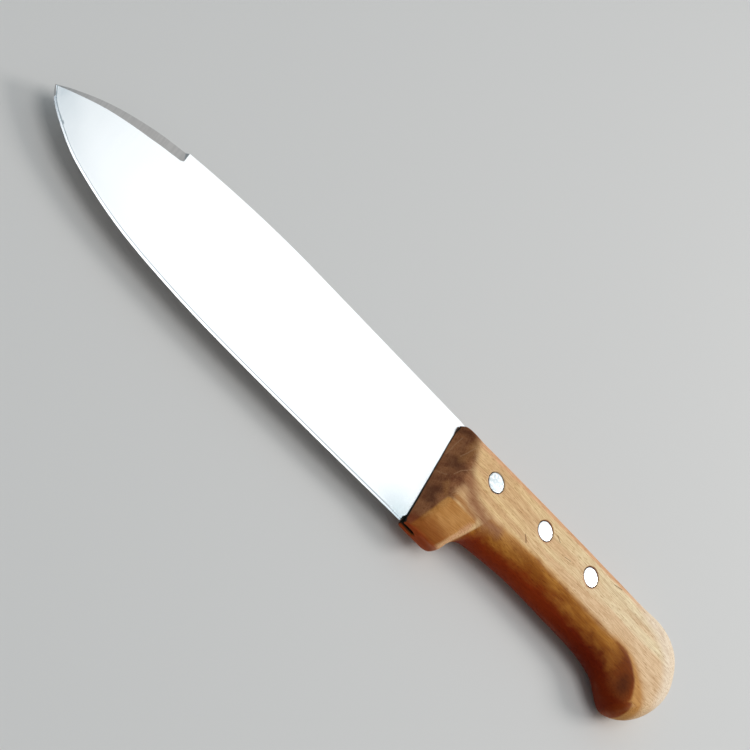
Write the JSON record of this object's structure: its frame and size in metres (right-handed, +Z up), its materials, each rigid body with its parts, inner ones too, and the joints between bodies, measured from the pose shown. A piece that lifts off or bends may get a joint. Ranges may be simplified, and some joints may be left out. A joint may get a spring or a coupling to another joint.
{
  "type": "butcher knife",
  "caption": "Butcher knife with a wide pointed steel blade, a ground swedge, a wooden handle with a guard and a hooked pommel, and metal pins through the tang.",
  "frame": {"origin": "middle of the knife's footprint, on the surface that it lies on", "axes": "+X from the point of the blade to the pommel, +Y from the cutting edge to the spine, +Z up through the thickness"},
  "size_m": [0.3442, 0.056, 0.018],
  "materials": {
    "blade_steel": "satin ground steel, bright, with fine lines across the blade",
    "handle_wood": "hand-sanded walnut-like hardwood, oiled, with grain along the handle",
    "rivet_aluminium": "sanded flush, slightly mottled"
  },
  "bodies": {
    "root": {"blade": "blade_steel", "handle": "handle_wood", "rivet_front": "rivet_aluminium", "rivet_middle": "rivet_aluminium", "rivet_rear": "rivet_aluminium"}
  },
  "joints": []
}
